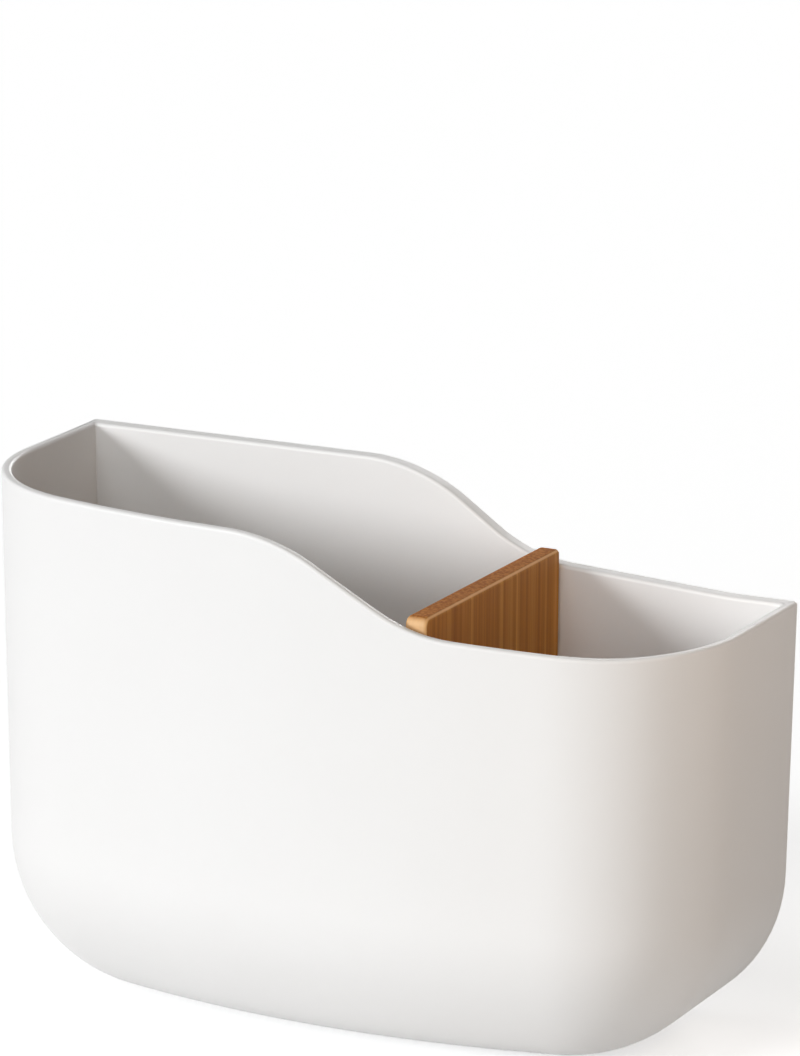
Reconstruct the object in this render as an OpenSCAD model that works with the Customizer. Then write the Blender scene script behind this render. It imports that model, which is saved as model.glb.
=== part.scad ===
// Remote control holder: a white moulded shell with a wave cut rim, a bowed
// front and a flat back, and a bamboo board that parts it into two bays.
// The low side is +X, the flat back is +Y, and the base stands on z = 0.

/* [Shell] */
// Width over the side walls at the tall rim
body_w = 170; // [150:1:200]
// Depth from the middle of the bowed front to the flat back
body_d = 76; // [70:1:90]
// Height of the tall rim on the left
tall_h = 116; // [108:1:130]
// Height of the low rim on the right
low_h = 95; // [88:1:97]
// Thickness of the front, side and bottom walls
wall = 2.3; // [1.8:0.1:3]
// Thickness of the flat back wall
back_wall = 4.2; // [2.4:0.1:5]
// Angle by which the front and side walls lean in towards the base
draft = 1.1; // [0.5:0.1:2]
// Radius of the shallow bow across the front
bow_r = 225; // [180:5:400]
// Radius round the bottom edge at the front and the sides
bottom_r = 35.5; // [25:0.5:38]
// Radius of the two front corners of the flat base
base_corner_r = 1; // [1:0.5:8]
// Radius of the two upright edges at the back
back_edge_r = 1.2; // [1:0.1:2]
// Radius of the rounding on both edges of the rim
lip_r = 0.8; // [0.4:0.1:0.9]

/* [Rim wave] */
// Where the tall level meets the slope at the front, from the middle of the body
crest_x = -2; // [-12:1:2]
// Where the slope meets the tail at the front
foot_x = 29.5; // [24:0.5:36]
// How much further to the tall side the slope starts at the back
crest_back = 1.4; // [0:0.1:4]
// How much further to the tall side the slope ends at the back
foot_back = 6.6; // [0:0.1:8]
// Height of the point where the slope meets the tail
foot_h = 97.7; // [97.2:0.1:100]
// Where the tail reaches the low level
level_x = 70; // [60:1:74]
// Radius of the rounded crest
crest_r = 41; // [20:1:45]
// Radius of the rounded foot
foot_r = 35; // [20:1:45]
// Radius where the tail runs into the low level
level_r = 120; // [60:10:160]

/* [Bamboo divider] */
// Thickness of the board
divider_t = 5; // [4:0.5:6]
// Middle of the board, from the middle of the body towards the low side
divider_x = 28.7; // [-30:0.1:34]
// Height of the board's top edge above the table
divider_top = 101; // [90:0.5:110]
// Rounding along all the edges of the board
divider_edge_r = 1; // [0.5:0.1:1.4]
// Gap between the board and the front and back walls
divider_gap = 0.4; // [0.2:0.1:1]

/* [Guide ribs] */
// Thickness of a rib
rib_t = 1.6; // [1.2:0.1:2.5]
// How far a rib stands out from its wall
rib_depth = 3.4; // [2:0.1:5]
// Height of the ribs' tops above the table
rib_top = 76; // [60:1:86]
// Gap on each side of the board in its guides
guide_gap = 0.2; // [0.1:0.05:0.5]

/* [Hidden] */
$fn = 64;

// Steps along each stretch of the outline, and up each rounding
bow_steps = 18;
corner_steps = 10;
back_edge_steps = 3;
back_steps = 44;
bottom_steps = 12;
lip_steps = 3;
rib_steps = 16;
edge_steps = 3;

// How far the flat base lies inside the rim's outline
base_inset = bottom_r / cos(draft) + tan(draft) * (tall_h - bottom_r);
corner_r = base_inset + base_corner_r;
corner_x = body_w / 2 - corner_r;
corner_y = bow_r - sqrt(pow(bow_r - corner_r, 2) - pow(corner_x, 2));
bow_end = atan2(corner_x, bow_r - corner_y);
tangent_z = bottom_r * (1 - sin(draft));

// Rounds the corner b of the line a, b, c: the middle of the arc and its ends
function unit(v) = v / norm(v);
function half_angle(a, b, c) = acos(unit(a - b) * unit(c - b)) / 2;
function arc_middle(a, b, c, r) =
    b + unit(unit(a - b) + unit(c - b)) * r / sin(half_angle(a, b, c));
function arc_end(a, b, c, r) = b + unit(a - b) * r / tan(half_angle(a, b, c));

// The height of the rim at a point seen from above. From the front it runs along
// the tall level, down the slope, along the tail and on to the low level
rim_start = [-body_w, tall_h];
rim_end = [body_w, low_h];
function on_line(x, a, b) = a.y + (b.y - a.y) * (x - a.x) / (b.x - a.x);
function on_arc(x, mid, r, side) = mid.y + side * sqrt(r * r - pow(x - mid.x, 2));
function rim_z(place) =
    let (
        x = place.x,
        share = place.y / body_d,
        crest = [crest_x - crest_back * share, tall_h],
        foot = [foot_x - foot_back * share, foot_h],
        level = [level_x, low_h]
    )
    x < arc_end(rim_start, crest, foot, crest_r).x ? tall_h :
    x < arc_end(foot, crest, rim_start, crest_r).x
        ? on_arc(x, arc_middle(rim_start, crest, foot, crest_r), crest_r, 1) :
    x < arc_end(crest, foot, level, foot_r).x ? on_line(x, crest, foot) :
    x < arc_end(level, foot, crest, foot_r).x
        ? on_arc(x, arc_middle(crest, foot, level, foot_r), foot_r, -1) :
    x < arc_end(foot, level, rim_end, level_r).x ? on_line(x, foot, level) :
    x < arc_end(rim_end, level, foot, level_r).x
        ? on_arc(x, arc_middle(foot, level, rim_end, level_r), level_r, -1) :
    low_h;

// A column of the shell: its point on the outer and on the inner rim line,
// the way out of the wall there, and the way it moves as the outline shrinks
function round_column(mid, r, angle) =
    let (way = [sin(angle), -cos(angle)])
    [mid + way * r, mid + way * (r - wall), way, way];
function back_edge_column(side, angle) =
    let (
        way = [side * cos(angle), sin(angle)],
        outer = [side * (body_w / 2 - back_edge_r), body_d - back_edge_r],
        inner = [side * (body_w / 2 - wall - back_edge_r), body_d - back_wall - back_edge_r]
    )
    [outer + way * back_edge_r, inner + way * back_edge_r, way, [side, 0]];
function back_column(share) =
    let (
        outer = (body_w / 2 - back_edge_r) * share,
        inner = (body_w / 2 - wall - back_edge_r) * share
    )
    [[outer, body_d], [inner, body_d - back_wall], [0, 1], [share, 0]];

// The columns in order, seen from above: bow, right corner, right back edge,
// back, left back edge, left corner and bow again
right_bow = [for (i = [0 : bow_steps - 1]) round_column([0, bow_r], bow_r, bow_end * i / bow_steps)];
right_corner = [for (i = [0 : corner_steps])
    round_column([corner_x, corner_y], corner_r, bow_end + (90 - bow_end) * i / corner_steps)];
right_back_edge = [for (i = [0 : back_edge_steps]) back_edge_column(1, 90 * i / back_edge_steps)];
back = [for (i = [1 : back_steps - 1]) back_column(1 - 2 * i / back_steps)];
left_back_edge = [for (i = [0 : back_edge_steps])
    back_edge_column(-1, 90 - 90 * i / back_edge_steps)];
left_corner = [for (i = [0 : corner_steps])
    round_column([-corner_x, corner_y], corner_r, -90 + (90 - bow_end) * i / corner_steps)];
left_bow = [for (i = [1 : bow_steps - 1])
    round_column([0, bow_r], bow_r, -bow_end + bow_end * i / bow_steps)];
columns = concat(right_bow, right_corner, right_back_edge, back,
    left_back_edge, left_corner, left_bow);

// A point of a column: in the bottom rounding, and on the lip
function bottom_point(column, inner, angle) =
    let (
        r = inner ? bottom_r - wall : bottom_r,
        inset = base_inset - r * sin(angle) - (inner ? wall : 0),
        place = column[inner ? 1 : 0] - column[3] * inset
    )
    [place.x, place.y, bottom_r - r * cos(angle)];
function lip_point(column, inner, angle) =
    let (
        into = lip_r * (1 - cos(angle)) * (inner ? 1 : -1),
        start = column[inner ? 1 : 0] + column[2] * into,
        first = start - column[3] * tan(draft) * (tall_h - rim_z(start)),
        z = rim_z(first) - lip_r * (1 - sin(angle)),
        place = start - column[3] * tan(draft) * (tall_h - z)
    )
    [place.x, place.y, z];

// The rings, from the outside of the base up over the rim and down to the floor
bottom_angles = [for (i = [0 : bottom_steps]) (90 - draft) * i / bottom_steps];
lip_angles = [for (i = [0 : lip_steps]) 90 * i / lip_steps];
rings = concat(
    [for (angle = bottom_angles) [for (c = columns) bottom_point(c, false, angle)]],
    [for (angle = lip_angles) [for (c = columns) lip_point(c, false, angle)]],
    [for (i = [lip_steps : -1 : 0]) [for (c = columns) lip_point(c, true, lip_angles[i])]],
    [for (i = [bottom_steps : -1 : 0])
        [for (c = columns) bottom_point(c, true, bottom_angles[i])]]
);

// Skins the rings into one closed solid
module skin(rings) {
    n = len(rings[0]);
    last = len(rings) - 1;
    points = [for (ring = rings) for (p = ring) p];
    bands = [for (k = [0 : last - 1]) for (j = [0 : n - 1])
        let (a = k * n + j, b = k * n + (j + 1) % n)
        each [[a, a + n, b + n], [a, b + n, b]]];
    under = [for (j = [0 : n - 1]) j];
    floor_face = [for (j = [n - 1 : -1 : 0]) last * n + j];
    polyhedron(points, concat(bands, [under, floor_face]));
}

// How far the surface that lies depth inside the wall is from the rim's outline
function wall_inset(depth, z) =
    let (r = bottom_r - depth)
    z > tangent_z
        ? depth / cos(draft) + tan(draft) * (tall_h - z)
        : base_inset - sqrt(max(0, r * r - pow(bottom_r - z, 2)));

// The same surface behind the bowed front, as y at a given x and inset, and back
function bow_y(x, inset) = bow_r - sqrt(pow(bow_r - inset, 2) - x * x);
function bow_inset(x, y) = bow_r - sqrt(pow(bow_r - y, 2) + x * x);

// A rib at x, from its outline in y and z
module rib(x, outline) {
    translate([x - rib_t / 2, 0, 0])
        rotate([90, 0, 90])
            linear_extrude(rib_t) polygon(outline);
}

// The front rib is rooted in the middle of the wall, and its straight face
// runs down until it meets the bottom rounding
module front_rib(x) {
    root = wall / 2;
    face = bow_y(x, wall_inset(wall, rib_top)) + rib_depth;
    reach = base_inset - bow_inset(x, face);
    low = bottom_r - sqrt(pow(bottom_r - root, 2) - reach * reach);
    wall_line = [for (i = [0 : rib_steps])
        let (z = rib_top + (low - rib_top) * i / rib_steps)
        [bow_y(x, wall_inset(root, z)), z]];
    rib(x, concat(wall_line, [[face, rib_top]]));
}

module back_rib(x) {
    seat = body_d - back_wall;
    root = seat + back_wall / 2;
    face = seat - rib_depth;
    low = wall / 2;
    rib(x, [[face, low], [root, low], [root, rib_top], [face, rib_top]]);
}

// The moulded shell with its two pairs of guide ribs
module shell() {
    rib_x = divider_t / 2 + guide_gap + rib_t / 2;
    color("white")
        translate([0, -body_d / 2, 0])
            union() {
                skin(rings);
                for (side = [-1, 1]) {
                    front_rib(divider_x + side * rib_x);
                    back_rib(divider_x + side * rib_x);
                }
            }
}

// An outline moved in by d, each corner along its mitre
function inward(a, b) = let (way = unit(b - a)) [-way.y, way.x];
function shrunk(outline, d) = [for (i = [0 : len(outline) - 1])
    let (
        before = outline[(i + len(outline) - 1) % len(outline)],
        after = outline[(i + 1) % len(outline)],
        u = inward(before, outline[i]),
        v = inward(outline[i], after)
    )
    outline[i] + (u + v) * d / (1 + u * v)];

// The board's outline from the side, in y and z: along the floor, up the back,
// along the top, down the front, which leans as the front wall does, and round
// the lower front corner, which clears the bottom rounding of the shell
function board_outline(back_y, corner_mid, corner_radius) =
    let (front_y = corner_mid.x - corner_radius / cos(draft))
    concat(
        [
            [corner_mid.x, corner_mid.y - corner_radius],
            [back_y, corner_mid.y - corner_radius],
            [back_y, divider_top],
            [front_y - tan(draft) * (divider_top - corner_mid.y), divider_top],
        ],
        [for (i = [0 : bottom_steps - 1])
            let (angle = 180 + draft + (90 - draft) * i / bottom_steps)
            corner_mid + corner_radius * [cos(angle), sin(angle)]]
    );

// The board stands on the floor between the ribs, with all its edges eased
module divider() {
    board_corner_r = bottom_r - wall - divider_gap;
    far_x = abs(divider_x) + divider_t / 2;
    outline = board_outline(
        body_d - back_wall - divider_gap,
        [bow_y(far_x, base_inset), wall + board_corner_r],
        board_corner_r
    );
    edge_angles = [for (i = [0 : edge_steps]) 90 * i / edge_steps];
    half_rings = [for (angle = edge_angles)
        [divider_t / 2 - divider_edge_r * (1 - cos(angle)),
            shrunk(outline, divider_edge_r * (1 - sin(angle)))]];
    color("peru")
        translate([divider_x, -body_d / 2, 0])
            skin(concat(
                [for (half = half_rings) [for (p = half[1]) [-half[0], p.x, p.y]]],
                [for (i = [edge_steps : -1 : 0])
                    [for (p = half_rings[i][1]) [half_rings[i][0], p.x, p.y]]]
            ));
}

shell();
divider();
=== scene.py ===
import math

import bmesh
import bpy
from mathutils import Matrix, Vector


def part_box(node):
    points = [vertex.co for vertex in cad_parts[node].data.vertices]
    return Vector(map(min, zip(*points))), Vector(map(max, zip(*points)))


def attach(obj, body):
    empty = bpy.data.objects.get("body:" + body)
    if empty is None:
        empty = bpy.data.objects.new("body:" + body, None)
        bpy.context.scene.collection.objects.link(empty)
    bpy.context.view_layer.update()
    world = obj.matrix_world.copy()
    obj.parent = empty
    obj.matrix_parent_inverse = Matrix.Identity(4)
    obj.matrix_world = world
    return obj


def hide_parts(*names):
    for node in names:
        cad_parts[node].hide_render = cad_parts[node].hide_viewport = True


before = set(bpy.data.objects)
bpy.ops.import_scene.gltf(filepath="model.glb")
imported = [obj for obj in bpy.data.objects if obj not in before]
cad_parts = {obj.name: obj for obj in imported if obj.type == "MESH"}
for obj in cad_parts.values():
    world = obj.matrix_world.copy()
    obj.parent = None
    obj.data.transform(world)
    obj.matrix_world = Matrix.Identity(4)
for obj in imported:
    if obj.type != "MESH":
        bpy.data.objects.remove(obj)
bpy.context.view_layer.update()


# The shell is one injection moulding in white plastic with a satin skin. Its wall section is
# carried round the shallow bow of the front, the corners and the straight sides, and a thicker
# flat wall closes the back. The rim falls in a wave from the tall side to the low side.
shell_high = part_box("shell")[1]
TALL_RIM = shell_high.z
LOW_RIM = 0.095
BACK = shell_high.y
FRONT = BACK - 0.076
HALF_WIDTH = 0.085
WALL = 0.0023
BACK_WALL = 0.0042
DRAFT = math.radians(1.1)
BOW_R = 0.225
BOTTOM_R = 0.0355
BASE_CORNER_R = 0.001
BACK_EDGE_R = 0.0012
INNER_BACK_R = 0.0005
LIP_R = 0.0008
PLASTIC_SHADE = (0.862, 0.857, 0.848, 1)
PLASTIC_TINT = (0.884, 0.881, 0.874, 1)
MOULD_GRAIN = 2600
MOULD_GRAIN_DEPTH = 0.00002
CLOUDING = 28

BOW_STEPS = 24
CORNER_STEPS = 18
BOTTOM_STEPS = 20
BACK_STEPS = 90
LIP_STEPS = 5
BACK_EDGE_STEPS = 4
INNER_BACK_STEPS = 2
SHARP = math.radians(60)
CREASE = math.radians(35)
TINY = 1e-6
Y, Z = 1, 2

# The flat base lies this far inside the rim's outline, and the bow and the corner share the
# line on which they meet, so the section can turn about one centre after the other.
base_inset = BOTTOM_R / math.cos(DRAFT) + math.tan(DRAFT) * (TALL_RIM - BOTTOM_R)
corner_r = base_inset + BASE_CORNER_R
corner_x = HALF_WIDTH - corner_r
bow_centre = Vector((0, FRONT + BOW_R, 0))
corner_centre = Vector((corner_x, bow_centre.y - math.sqrt((BOW_R - corner_r) ** 2 - corner_x**2), 0))
bow_turn = math.atan2(corner_x, bow_centre.y - corner_centre.y)

# The slope of the rim, from the crest to the foot, at the front and at the back, and the radius
# of the arc at each turn. It is steeper at the back.
CREST_X, CREST_BACK_X = -0.002, -0.0034
FOOT_X, FOOT_BACK_X = 0.0295, 0.0229
FOOT_Z = 0.0977
LEVEL_X = 0.070
RIM_RADII = (0.041, 0.035, 0.120)


def rim_height(place):
    """Height of the rim at a point seen from above, along the tall level, slope, tail and low level."""
    share = (place.y - FRONT) / (BACK - FRONT)
    line = [
        Vector((-2 * HALF_WIDTH, TALL_RIM)),
        Vector((CREST_X + (CREST_BACK_X - CREST_X) * share, TALL_RIM)),
        Vector((FOOT_X + (FOOT_BACK_X - FOOT_X) * share, FOOT_Z)),
        Vector((LEVEL_X, LOW_RIM)),
        Vector((2 * HALF_WIDTH, LOW_RIM)),
    ]
    for before, turn, after, radius in zip(line, line[1:], line[2:], RIM_RADII):
        back_way, on_way = (before - turn).normalized(), (after - turn).normalized()
        half_angle = back_way.angle(on_way) / 2
        middle = turn + (back_way + on_way).normalized() * radius / math.sin(half_angle)
        reach = radius / math.tan(half_angle)
        if (turn + back_way * reach).x < place.x < (turn + on_way * reach).x:
            side = math.copysign(1, turn.y - middle.y)
            return middle.y + side * math.sqrt(radius**2 - (place.x - middle.x) ** 2)
    start, end = next((a, b) for a, b in zip(line, line[1:]) if place.x <= b.x)
    return start.y + (end.y - start.y) * (place.x - start.x) / (end.x - start.x)


def way_out(place):
    """The level direction in which the wall faces at a point."""
    if place.y > corner_centre.y:
        return Vector((place.x / HALF_WIDTH, 0, 0))
    across = Vector((abs(place.x), place.y, 0))
    on_bow = across.x < (bow_centre.y - across.y) * math.tan(bow_turn)
    way = across - (bow_centre if on_bow else corner_centre)
    way.normalize()
    return Vector((math.copysign(way.x, place.x), way.y, 0))


def picked(geom, kind):
    """The vertices or the edges among what an operator has made."""
    return [part for part in geom if isinstance(part, kind)]


def carry_wall(bm, depth, back):
    """One skin of the wall, depth inside the outer one, carried from the middle to the back."""
    centre = Vector((0, FRONT + base_inset, BOTTOM_R))
    foot = bm.verts.new(centre - Vector((0, 0, BOTTOM_R - depth)))
    rounding = bmesh.ops.spin(
        bm, geom=[foot], cent=centre, axis=(1, 0, 0), angle=DRAFT - math.pi / 2, steps=BOTTOM_STEPS
    )
    tangent = picked(rounding["geom_last"], bmesh.types.BMVert)
    rim = bmesh.ops.extrude_vert_indiv(bm, verts=tangent)["verts"][0]
    rim.co = (0, FRONT + depth, TALL_RIM)
    section = [rim]
    edges = []
    while section[-1] is not foot:
        edge = next(e for e in section[-1].link_edges if e not in edges)
        edges.append(edge)
        section.append(edge.other_vert(section[-1]))
    bow = bmesh.ops.spin(
        bm, geom=section + edges, cent=bow_centre, axis=(0, 0, 1), angle=bow_turn, steps=BOW_STEPS
    )
    corner = bmesh.ops.spin(
        bm,
        geom=bow["geom_last"],
        cent=corner_centre,
        axis=(0, 0, 1),
        angle=math.pi / 2 - bow_turn,
        steps=CORNER_STEPS,
    )
    side = bmesh.ops.extrude_edge_only(bm, edges=picked(corner["geom_last"], bmesh.types.BMEdge))
    bmesh.ops.translate(
        bm, verts=picked(side["geom"], bmesh.types.BMVert), vec=(0, back - corner_centre.y, 0)
    )


def fill_level(bm, axis, level, middle):
    """A flat face through all the vertices at one level along an axis, in turn round its middle."""
    right, up = [i for i in range(3) if i != axis]
    border = [v for v in bm.verts if abs(v.co[axis] - level) < TINY]
    border.sort(key=lambda v: math.atan2(v.co[up] - middle, v.co[right]))
    bm.faces.new(border)


def edges_on_back(bm, level):
    """The edges round a back face, without its rim."""
    return [
        e
        for e in bm.edges
        if all(abs(v.co.y - level) < TINY for v in e.verts)
        and min(v.co.z for v in e.verts) < LOW_RIM - LIP_R
    ]


def round_edges(bm, edges, radius, steps):
    bmesh.ops.bevel(
        bm,
        geom=edges,
        offset=radius,
        offset_type="OFFSET",
        segments=steps,
        profile=0.5,
        affect="EDGES",
        clamp_overlap=False,
        material=-1,
    )


def shell_mesh():
    bm = bmesh.new()
    carry_wall(bm, 0, BACK)
    carry_wall(bm, WALL, BACK - BACK_WALL)
    bmesh.ops.mirror(bm, geom=bm.verts[:] + bm.edges[:] + bm.faces[:], merge_dist=TINY, axis="X")
    bmesh.ops.remove_doubles(bm, verts=bm.verts, dist=TINY)

    # The rim of the back wall, outer and inner, and the flat top between the two skins
    for level in (BACK, BACK - BACK_WALL):
        ends = [v for v in bm.verts if abs(v.co.y - level) < TINY and abs(v.co.z - TALL_RIM) < TINY]
        bmesh.ops.subdivide_edges(bm, edges=[bm.edges.new(ends)], cuts=BACK_STEPS - 1)
    rim = [e for e in bm.edges if all(abs(v.co.z - TALL_RIM) < TINY for v in e.verts)]
    bmesh.ops.bridge_loops(bm, edges=rim)
    fill_level(bm, Y, BACK, TALL_RIM / 2)
    fill_level(bm, Y, BACK - BACK_WALL, TALL_RIM / 2)
    fill_level(bm, Z, 0, BACK / 2)
    fill_level(bm, Z, WALL, BACK / 2)

    # The wave: each point of the rim slides down its leaning wall
    for vert in {v for e in rim for v in e.verts}:
        lean = way_out(vert.co) * math.tan(DRAFT)
        place = vert.co - lean * (TALL_RIM - rim_height(vert.co))
        place.z = rim_height(place)
        vert.co = place
    bmesh.ops.recalc_face_normals(bm, faces=bm.faces)

    round_edges(bm, edges_on_back(bm, BACK), BACK_EDGE_R, BACK_EDGE_STEPS)
    round_edges(bm, edges_on_back(bm, BACK - BACK_WALL), INNER_BACK_R, INNER_BACK_STEPS)
    lip = [
        e
        for e in bm.edges
        if min(v.co.z for v in e.verts) > LOW_RIM - LIP_R and e.calc_face_angle() > SHARP
    ]
    round_edges(bm, lip, LIP_R, LIP_STEPS)
    return bm


# Four ribs are moulded inside as part of the shell, one pair on the front wall and one on the
# back wall. The board slides down between them, and they hold it upright.
board_low, board_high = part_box("divider")
RIB_T = 0.0016
RIB_DEPTH = 0.0034
RIB_TOP = 0.076
RIB_EDGE_R = 0.0003
RIB_EDGE_STEPS = 2
RIB_STEPS = 12
GUIDE_GAP = 0.0002


def behind_bow(x, inset):
    """The y of the surface that lies this far inside the rim's outline, behind the bow at x."""
    return bow_centre.y - math.sqrt((BOW_R - inset) ** 2 - x**2)


def front_rib(x):
    """A rib rooted in the middle of the front wall, whose straight face runs down to the rounding."""
    lean = math.tan(DRAFT) * (TALL_RIM - RIB_TOP)
    face = behind_bow(x, WALL / math.cos(DRAFT) + lean) + RIB_DEPTH
    root_r = BOTTOM_R - WALL / 2
    centre = Vector((x, behind_bow(x, base_inset), BOTTOM_R))
    bm = bmesh.new()
    tangent = bm.verts.new(centre - root_r * Vector((0, math.cos(DRAFT), math.sin(DRAFT))))
    bmesh.ops.spin(
        bm,
        geom=[tangent],
        cent=centre,
        axis=(1, 0, 0),
        angle=math.acos((centre.y - face) / root_r) - DRAFT,
        steps=RIB_STEPS,
    )
    border = sorted(bm.verts, key=lambda v: -v.co.z)
    border.append(bm.verts.new((x, face, RIB_TOP)))
    border.append(bm.verts.new((x, behind_bow(x, WALL / 2 / math.cos(DRAFT) + lean), RIB_TOP)))
    side = bm.faces.new(border)
    far_side = bmesh.ops.extrude_face_region(bm, geom=[side])
    bmesh.ops.translate(bm, verts=picked(far_side["geom"], bmesh.types.BMVert), vec=(RIB_T, 0, 0))
    return bm, face


def back_rib(x):
    """A rib rooted in the middle of the back wall and in the floor."""
    seat = BACK - BACK_WALL
    low = Vector((x, seat - RIB_DEPTH, WALL / 2))
    size = Vector((RIB_T, RIB_DEPTH + BACK_WALL / 2, RIB_TOP - WALL / 2))
    bm = bmesh.new()
    place = Matrix.Translation(low + size / 2) @ Matrix.Diagonal((*size, 1))
    bmesh.ops.create_cube(bm, size=1, matrix=place)
    return bm, low.y


def rib_mesh(make_rib, x):
    """A rib with its free edges eased."""
    bm, face = make_rib(x)
    bmesh.ops.recalc_face_normals(bm, faces=bm.faces)
    free = [
        e
        for e in bm.edges
        if all(abs(v.co.y - face) < TINY for v in e.verts)
        or all(abs(v.co.z - RIB_TOP) < TINY for v in e.verts)
    ]
    round_edges(bm, free, RIB_EDGE_R, RIB_EDGE_STEPS)
    return bm


def finished(name, bm, material):
    """An object with the mesh that was shaped and the material."""
    mesh = bpy.data.meshes.new(name)
    bm.to_mesh(mesh)
    bm.free()
    mesh.materials.append(material)
    piece = bpy.data.objects.new(name, mesh)
    bpy.context.scene.collection.objects.link(piece)
    return piece


def weld(piece, parts):
    """Joins the parts to the piece as one solid, without the faces that end up inside."""
    for part in parts:
        union = piece.modifiers.new(part.name, "BOOLEAN")
        union.operation = "UNION"
        union.solver = "EXACT"
        union.object = part
    whole = piece.evaluated_get(bpy.context.evaluated_depsgraph_get())
    mesh = bpy.data.meshes.new_from_object(whole)
    piece.modifiers.clear()
    piece.data = mesh
    for part in parts:
        bpy.data.objects.remove(part)


def shade(piece):
    """Smooth faces between the real edges, with the large faces kept true."""
    piece.data.shade_smooth()
    piece.data.set_sharp_from_angle(angle=CREASE)
    normals = piece.modifiers.new("true_faces", "WEIGHTED_NORMAL")
    normals.mode = "FACE_AREA"
    normals.keep_sharp = True


def add_node(tree, kind, inputs=(), **settings):
    """A shader node. Each of its inputs takes a value or another node's output."""
    node = tree.nodes.new(kind)
    for name, value in settings.items():
        setattr(node, name, value)
    for name, value in dict(inputs).items():
        if isinstance(value, bpy.types.NodeSocket):
            tree.links.new(value, node.inputs[name])
        else:
            node.inputs[name].default_value = value
    return node


def blended(tree, factor, first, second):
    """The colour that lies this far from the first to the second."""
    mix = add_node(tree, "ShaderNodeMix", {0: factor}, data_type="RGBA")
    for socket, colour in ((mix.inputs[6], first), (mix.inputs[7], second)):
        if isinstance(colour, bpy.types.NodeSocket):
            tree.links.new(colour, socket)
        else:
            socket.default_value = colour
    return mix.outputs[2]


def white_plastic():
    """White plastic with the fine, even grain that a blasted mould leaves, and a soft sheen."""
    material = bpy.data.materials.new("white_plastic")
    material.use_nodes = True
    tree = material.node_tree
    skin = tree.nodes["Principled BSDF"]
    skin.inputs["IOR"].default_value = 1.49
    place = add_node(tree, "ShaderNodeTexCoord").outputs["Object"]
    grain = add_node(
        tree,
        "ShaderNodeTexNoise",
        {"Vector": place, "Scale": MOULD_GRAIN, "Detail": 2, "Roughness": 0.6},
    )
    cloud = add_node(tree, "ShaderNodeTexNoise", {"Vector": place, "Scale": CLOUDING, "Detail": 1})
    tone = blended(tree, cloud.outputs["Fac"], PLASTIC_SHADE, PLASTIC_TINT)
    gloss = add_node(
        tree, "ShaderNodeMapRange", {"Value": grain.outputs["Fac"], "To Min": 0.4, "To Max": 0.54}
    )
    relief = add_node(
        tree,
        "ShaderNodeBump",
        {"Height": grain.outputs["Fac"], "Strength": 0.35, "Distance": MOULD_GRAIN_DEPTH},
    )
    tree.links.new(tone, skin.inputs["Base Color"])
    tree.links.new(gloss.outputs["Result"], skin.inputs["Roughness"])
    tree.links.new(relief.outputs["Normal"], skin.inputs["Normal"])
    return material


plastic = white_plastic()
shell = finished("shell_moulding", shell_mesh(), plastic)
ribs = []
for rib_x in (board_low.x - GUIDE_GAP - RIB_T, board_high.x + GUIDE_GAP):
    ribs.append(finished("front_rib", rib_mesh(front_rib, rib_x), plastic))
    ribs.append(finished("back_rib", rib_mesh(back_rib, rib_x), plastic))
weld(shell, ribs)
shade(shell)
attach(shell, "root")
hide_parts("shell")


# The divider is one board of carbonised bamboo strips glued side by side, with the grain upright,
# its edges eased and its faces lightly varnished. It stands on the floor of the shell between the
# ribs, and lifts out.
BOARD_EDGE_R = 0.001
BOARD_EDGE_STEPS = 4
BOARD_NOSE_R = 0.002
BOARD_NOSE_STEPS = 8
BOARD_CORNER_STEPS = 24
BOARD_GAP = 0.0004
STRIP = 0.0195
WOOD_DARK = (0.33, 0.105, 0.011, 1)
WOOD_BROWN = (0.53, 0.205, 0.029, 1)
WOOD_LIGHT = (0.76, 0.365, 0.078, 1)
# Painted highlight on the narrow ends of the board
NARROW_END_HIGHLIGHT = (0.86, 0.57, 0.31, 1)
# Painted highlight on the long eased edges
EASED_EDGE_HIGHLIGHT = (0.95, 0.56, 0.24, 1)
END_GRAIN_DARK = (0.36, 0.12, 0.024, 1)
END_GRAIN_LIGHT = (0.55, 0.215, 0.052, 1)


def board_mesh():
    """The board, with its lower front corner cut to the shell's rounding and its top front one eased."""
    size = board_high - board_low
    middle = (board_high + board_low) / 2
    bm = bmesh.new()
    bmesh.ops.create_cube(bm, size=1, matrix=Matrix.Translation(middle) @ Matrix.Diagonal((*size, 1)))
    foot = [v for v in bm.verts if v.co.y < middle.y and v.co.z < middle.z]
    bmesh.ops.translate(bm, verts=foot, vec=(0, math.tan(DRAFT) * size.z, 0))
    corner = [e for e in bm.edges if all(v in foot for v in e.verts)]
    corner_reach = (BOTTOM_R - WALL - BOARD_GAP) * math.tan(math.pi / 4 - DRAFT / 2)
    round_edges(bm, corner, corner_reach, BOARD_CORNER_STEPS)
    nose = [e for e in bm.edges if all(v.co.y < middle.y and v.co.z > middle.z for v in e.verts)]
    round_edges(bm, nose, BOARD_NOSE_R, BOARD_NOSE_STEPS)
    sharp = [e for e in bm.edges if e.calc_face_angle() > SHARP]
    round_edges(bm, sharp, BOARD_EDGE_R, BOARD_EDGE_STEPS)
    return bm


def stretched_noise(tree, place, across, along, detail):
    """Noise drawn out upright, as fibres are: so many to the metre across them and along them."""
    turned = add_node(tree, "ShaderNodeMapping", {"Vector": place, "Scale": (across, across, along)})
    noise = add_node(
        tree, "ShaderNodeTexNoise", {"Vector": turned.outputs["Vector"], "Scale": 1, "Detail": detail}
    )
    return noise.outputs["Fac"]


def math_node(tree, operation, first, second=0.0, third=0.0):
    """The output of a Math node."""
    node = add_node(tree, "ShaderNodeMath", {0: first, 1: second, 2: third}, operation=operation)
    return node.outputs[0]


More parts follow.
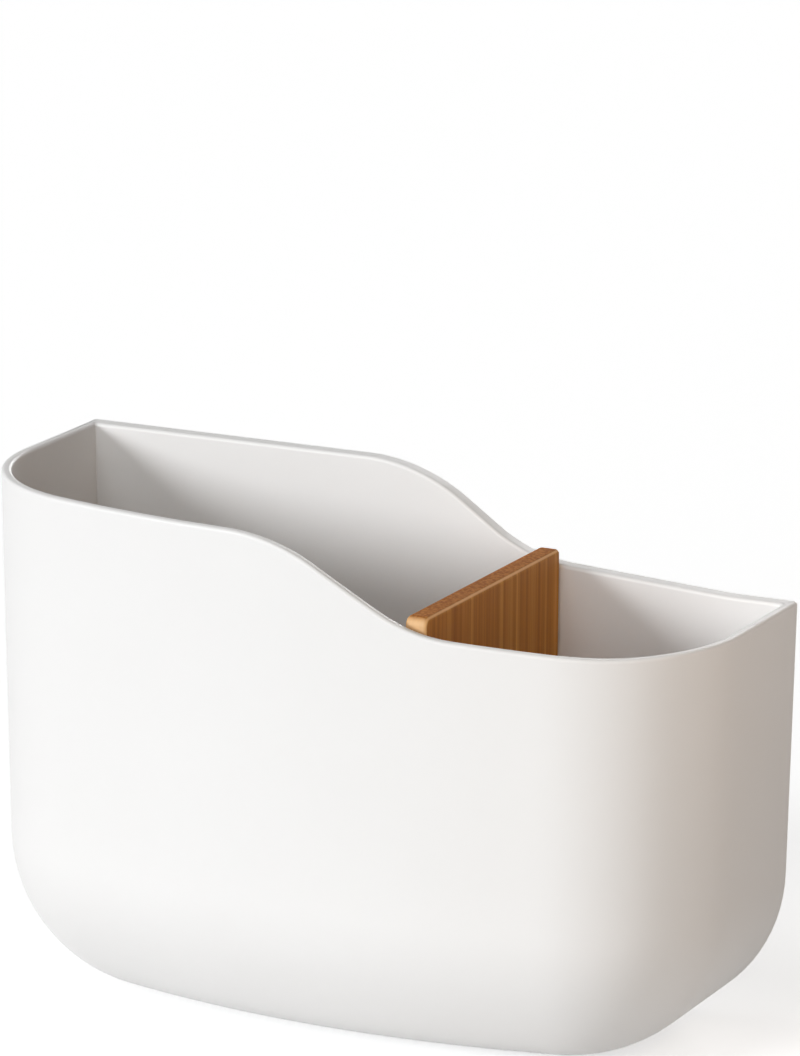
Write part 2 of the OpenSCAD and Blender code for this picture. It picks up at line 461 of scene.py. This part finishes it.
def bamboo():
    """Brown strips with upright streaks and fibres, and specks where the top shows the end grain."""
    material = bpy.data.materials.new("bamboo")
    material.use_nodes = True
    tree = material.node_tree
    skin = tree.nodes["Principled BSDF"]
    coordinates = add_node(tree, "ShaderNodeTexCoord")
    place = coordinates.outputs["Object"]
    facing_way = add_node(tree, "ShaderNodeSeparateXYZ", {"Vector": coordinates.outputs["Normal"]})
    streaks = stretched_noise(tree, place, 520, 4, 3)
    fibres = stretched_noise(tree, place, 2400, 16, 2)

    depth = add_node(tree, "ShaderNodeSeparateXYZ", {"Vector": place})
    strip = math_node(tree, "FLOOR", math_node(tree, "DIVIDE", depth.outputs["Y"], STRIP))
    chance = add_node(tree, "ShaderNodeTexWhiteNoise", {"W": strip}, noise_dimensions="1D")
    figure = math_node(tree, "MULTIPLY_ADD", fibres, 0.35, math_node(tree, "MULTIPLY", streaks, 0.75))
    figure = math_node(tree, "MULTIPLY_ADD", chance.outputs["Value"], 0.12, figure)
    wood = add_node(tree, "ShaderNodeValToRGB", {"Fac": figure})
    ramp = wood.color_ramp
    ramp.elements[0].position = 0.36
    ramp.elements[0].color = WOOD_DARK
    ramp.elements[1].position = 0.84
    ramp.elements[1].color = WOOD_LIGHT
    ramp.elements.new(0.58).color = WOOD_BROWN

    specks = add_node(tree, "ShaderNodeTexNoise", {"Vector": place, "Scale": 1500, "Detail": 3})
    speck = add_node(
        tree, "ShaderNodeMapRange", {"Value": specks.outputs["Fac"], "From Min": 0.4, "From Max": 0.62}
    )
    end_grain = blended(tree, speck.outputs["Result"], END_GRAIN_DARK, END_GRAIN_LIGHT)
    upright = add_node(
        tree,
        "ShaderNodeMapRange",
        {"Value": facing_way.outputs["Z"], "From Min": 0.75, "From Max": 0.95},
    )
    colour = blended(tree, upright.outputs["Result"], wood.outputs["Color"], end_grain)

    # The narrow ends and the long eased edges get a painted highlight, and the end grain is duller
    narrow_end_highlight = add_node(
        tree,
        "ShaderNodeMapRange",
        {
            "Value": math_node(tree, "ABSOLUTE", facing_way.outputs["Y"]),
            "From Min": 0.25,
            "From Max": 0.85,
            "To Max": 0.8,
        },
    )
    # A painted highlight makes the narrow ends lighter
    colour = blended(tree, narrow_end_highlight.outputs["Result"], colour, NARROW_END_HIGHLIGHT)
    # A painted highlight makes a thin light line along the long eased edges
    across = math_node(tree, "POWER", facing_way.outputs["X"], 2)
    slant = math_node(tree, "MULTIPLY", across, math_node(tree, "SUBTRACT", 1, across))
    eased = add_node(
        tree, "ShaderNodeMapRange", {"Value": slant, "From Min": 0.13, "From Max": 0.24, "To Max": 0.8}
    )
    colour = blended(tree, eased.outputs["Result"], colour, EASED_EDGE_HIGHLIGHT)
    gloss = add_node(tree, "ShaderNodeMapRange", {"Value": fibres, "To Min": 0.4, "To Max": 0.55})
    sheen = add_node(
        tree, "ShaderNodeMapRange", {"Value": upright.outputs["Result"], "To Min": 0.15, "To Max": 0.05}
    )
    dulled = math_node(tree, "MULTIPLY_ADD", upright.outputs["Result"], 0.25, gloss.outputs["Result"])
    relief = add_node(tree, "ShaderNodeBump", {"Height": fibres, "Strength": 0.4, "Distance": 0.00004})
    tree.links.new(colour, skin.inputs["Base Color"])
    tree.links.new(dulled, skin.inputs["Roughness"])
    tree.links.new(sheen.outputs["Result"], skin.inputs["Specular IOR Level"])
    tree.links.new(relief.outputs["Normal"], skin.inputs["Normal"])
    return material


board = finished("divider_board", board_mesh(), bamboo())
shade(board)
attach(board, "root")
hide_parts("divider")


# A plain white floor, as seen by the camera and in reflections, that keeps the soft shadow. What
# its own light lacks of white, a little glow makes up.
FLOOR_REACH = 6
FLOOR_DROP = 0.0001
FLOOR_COLOUR = (0.76, 0.76, 0.76, 1)
FLOOR_GLOW = (0.602, 0.605, 0.607, 1)


def seen_directly(tree):
    """1 for a ray from the camera, from gloss or through glass, and 0 for the light of the room."""
    path = add_node(tree, "ShaderNodeLightPath")
    gloss, glass = path.outputs["Is Glossy Ray"], path.outputs["Is Transmission Ray"]
    mirrored = math_node(tree, "MAXIMUM", gloss, glass)
    return math_node(tree, "MAXIMUM", path.outputs["Is Camera Ray"], mirrored)


def floor_finish():
    material = bpy.data.materials.new("pale_floor")
    material.use_nodes = True
    tree = material.node_tree
    tree.nodes.remove(tree.nodes["Principled BSDF"])
    matt = add_node(tree, "ShaderNodeBsdfDiffuse", {"Color": FLOOR_COLOUR})
    glow = add_node(tree, "ShaderNodeEmission", {"Color": FLOOR_GLOW, "Strength": seen_directly(tree)})
    both = add_node(tree, "ShaderNodeAddShader", {0: matt.outputs[0], 1: glow.outputs[0]})
    tree.links.new(both.outputs[0], tree.nodes["Material Output"].inputs["Surface"])
    return material


floor_plane = bmesh.new()
bmesh.ops.create_grid(floor_plane, x_segments=1, y_segments=1, size=FLOOR_REACH)
bmesh.ops.translate(floor_plane, verts=floor_plane.verts, vec=(0, 0, -FLOOR_DROP))
floor = finished("floor", floor_plane, floor_finish())


# Soft light: the main one from the left front, weaker ones from the front, above and behind, and
# two small boxes beside the low side, the further one warm, in a dim room.
scene = bpy.context.scene
scene.view_settings.view_transform = "Standard"
BOX_AIM = (0.03, 0, 0.06)


def facing(azimuth, elevation):
    """The turn that looks at the object from so far to the right of its front and above the table."""
    tilt = Matrix.Rotation(math.radians(90 - elevation), 4, "X")
    return Matrix.Rotation(math.radians(azimuth), 4, "Z") @ tilt


def hang(name, lamp, place):
    """Puts a lamp in the room."""
    holder = bpy.data.objects.new(name, lamp)
    holder.matrix_world = place
    scene.collection.objects.link(holder)


def distant_light(name, azimuth, elevation, width, level, colour):
    """A source so many degrees wide, under which a white face turned to it renders at the level."""
    lamp = bpy.data.lights.new(name, "SUN")
    lamp.angle = math.radians(width)
    lamp.energy = level * math.pi
    lamp.color = colour
    hang(name, lamp, facing(azimuth, elevation))


def light_box(name, azimuth, elevation, distance, size, power, colour):
    """A square source near the object, at so many metres from the point that the boxes aim at."""
    lamp = bpy.data.lights.new(name, "AREA")
    lamp.size = size
    lamp.energy = power
    lamp.color = colour
    turn = facing(azimuth, elevation)
    hang(name, lamp, Matrix.Translation(BOX_AIM) @ turn @ Matrix.Translation((0, 0, distance)))


distant_light("left_front", -35, 15, 16, 0.58, (0.975, 0.985, 1))
distant_light("front", 5, 15, 34, 0.22, (1, 1, 1))
distant_light("above", -15, 60, 24, 0.17, (1, 1, 1))
distant_light("behind", 190, 12, 20, 0.3, (1, 1, 1))
light_box("low_corner", 55, 20, 0.25, 0.12, 0.034, (0.78, 0.97, 1))
light_box("low_side", 75, 20, 0.21, 0.12, 0.044, (1, 0.55, 0.24))

world = bpy.data.worlds.new("room")
scene.world = world
world.use_nodes = True
room = world.node_tree
air = room.nodes["Background"]
air.inputs["Color"].default_value = (1, 0.95, 0.9, 1)
air.inputs["Strength"].default_value = 0.11
backdrop = add_node(room, "ShaderNodeBackground", {"Color": (1, 1, 1, 1), "Strength": 1})
mixed = add_node(
    room, "ShaderNodeMixShader", {0: seen_directly(room), 1: air.outputs[0], 2: backdrop.outputs[0]}
)
room.links.new(mixed.outputs[0], room.nodes["World Output"].inputs["Surface"])

# A long lens at the right front, a little above the rim
CAMERA_AZIMUTH = 26.095
CAMERA_ELEVATION = 14.207
CAMERA_ROLL = 0.427
CAMERA_DISTANCE = 1.2672
CAMERA_AIM = Vector((0.00831, 0.00185, 0.10989))
lens = bpy.data.cameras.new("camera")
lens.lens = 205
lens.sensor_width = 36
camera = bpy.data.objects.new("camera", lens)
roll = Matrix.Rotation(math.radians(CAMERA_ROLL), 4, "Z")
camera_turn = facing(CAMERA_AZIMUTH, CAMERA_ELEVATION) @ roll
back_off = camera_turn @ Vector((0, 0, CAMERA_DISTANCE))
camera.matrix_world = Matrix.Translation(CAMERA_AIM + back_off) @ camera_turn
scene.collection.objects.link(camera)
scene.camera = camera
